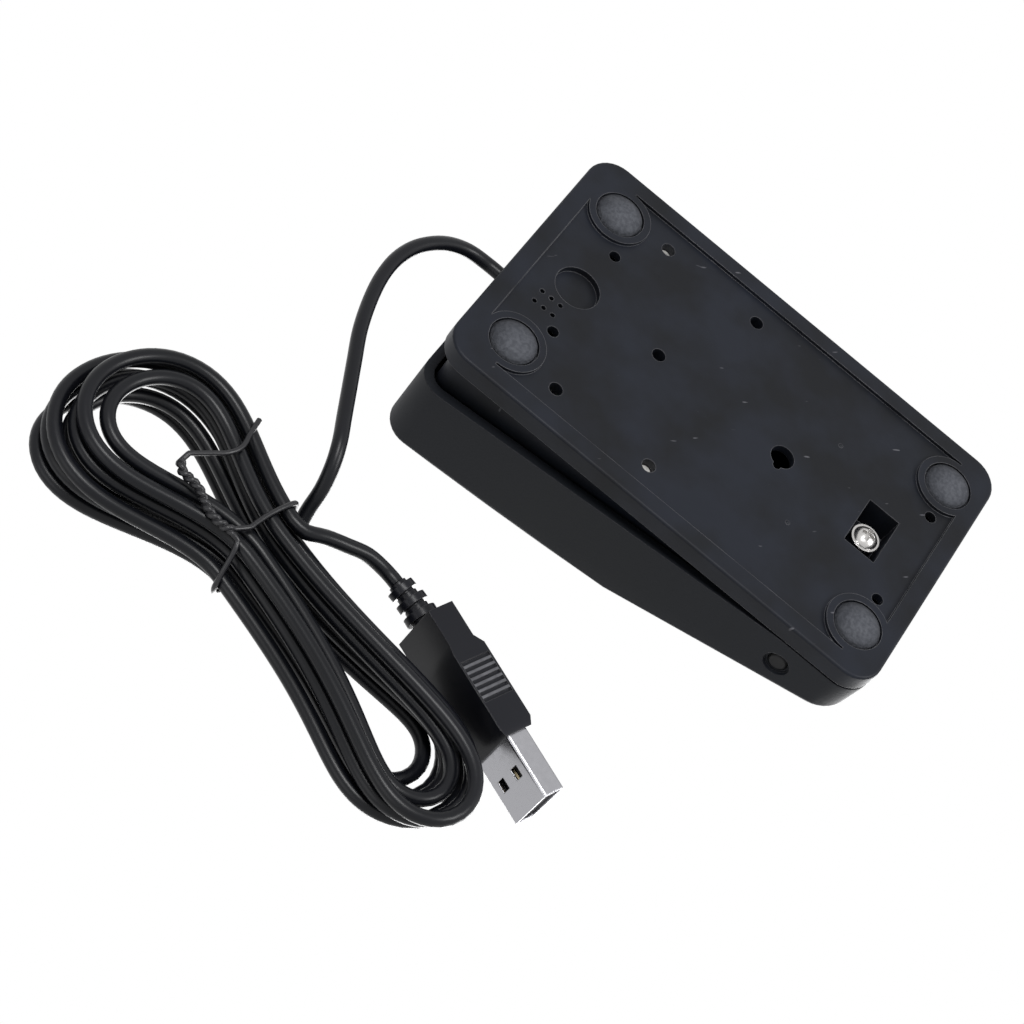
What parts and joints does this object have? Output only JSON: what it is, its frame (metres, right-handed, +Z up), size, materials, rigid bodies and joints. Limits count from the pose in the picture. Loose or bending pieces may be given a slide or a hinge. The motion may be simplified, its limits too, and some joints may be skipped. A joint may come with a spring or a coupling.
{
  "type": "usb foot pedal switch",
  "caption": "Hinged foot pedal over a flat base with rubber feet, a sprung key switch under the tread and a tied-up lead ending in a USB-A plug",
  "frame": {"origin": "on the ground, under the middle of the base's plan", "axes": "+X across to the side where the tied-up lead lies, +Y to the rear where the lead leaves and the tread is high, +Z up"},
  "size_m": [0.1479, 0.144, 0.0321],
  "materials": {
    "base_plastic": "moulded black ABS, faint sheen",
    "pedal_plastic": "fine matt texture",
    "foot_rubber": "matt grey-black rubber",
    "axle_steel": "blackened steel pin",
    "screw_nickel": "bright nickel plate",
    "board": "green solder mask",
    "chip_black": "moulded epoxy",
    "can_metal": "tinned can",
    "cap_sleeve": "shrunk sleeve",
    "header_plastic": "natural nylon",
    "switch_plastic": "moulded black",
    "stem_plastic": "moulded blue acetal",
    "spring_steel": "drawn wire",
    "contact_gold": "gold flash",
    "cord_jacket": "satin black PVC",
    "tie_plastic": "black coated wire",
    "plug_plastic": "moulded black PVC",
    "shell_nickel": "bright nickel plate",
    "tongue_plastic": "moulded black"
  },
  "bodies": {
    "base": {"base_tray": "base_plastic", "foot_rear_left": "foot_rubber", "foot_rear_right": "foot_rubber", "foot_front_left": "foot_rubber", "foot_front_right": "foot_rubber", "hinge_axle": "axle_steel", "axle_lock_screw": "screw_nickel", "circuit_board": "board", "board_screws": "screw_nickel", "controller_chip": "chip_black", "crystal": "can_metal", "capacitor": "cap_sleeve", "cable_header": "header_plastic", "switch_lower": "switch_plastic", "switch_upper": "switch_plastic", "switch_pins": "contact_gold", "switch_spring": "spring_steel", "return_spring": "spring_steel", "cable_bush": "cord_jacket", "cable_inner": "cord_jacket", "cord_lead": "cord_jacket", "cord_hank": "cord_jacket", "cord_tie": "tie_plastic", "cord_tail": "cord_jacket", "plug_relief": "plug_plastic", "plug_overmould": "plug_plastic", "plug_shell": "shell_nickel", "plug_tongue": "tongue_plastic", "plug_contacts": "contact_gold"},
    "pedal": {"pedal_cover": "pedal_plastic"},
    "stem": {"switch_stem": "stem_plastic"}
  },
  "joints": [
    {"name": "pedal_press", "type": "hinge", "parent": "base", "child": "pedal", "pos_m": [0, -0.0349, 0.0115], "axis": [-1, 0, 0], "range_deg": [0, 6], "stiffness_Nm_per_rad": 5.4, "springref_deg": -4.58, "deforming": ["return_spring"]},
    {"name": "stem_slide", "type": "slide", "parent": "base", "child": "stem", "axis": [0, 0, -1], "range_m": [0, 0.0041], "deforming": ["switch_spring"]}
  ],
  "couplings": [
    {"joint": "stem_slide", "follows": "pedal_press", "m_per_rad": 0.039}
  ]
}
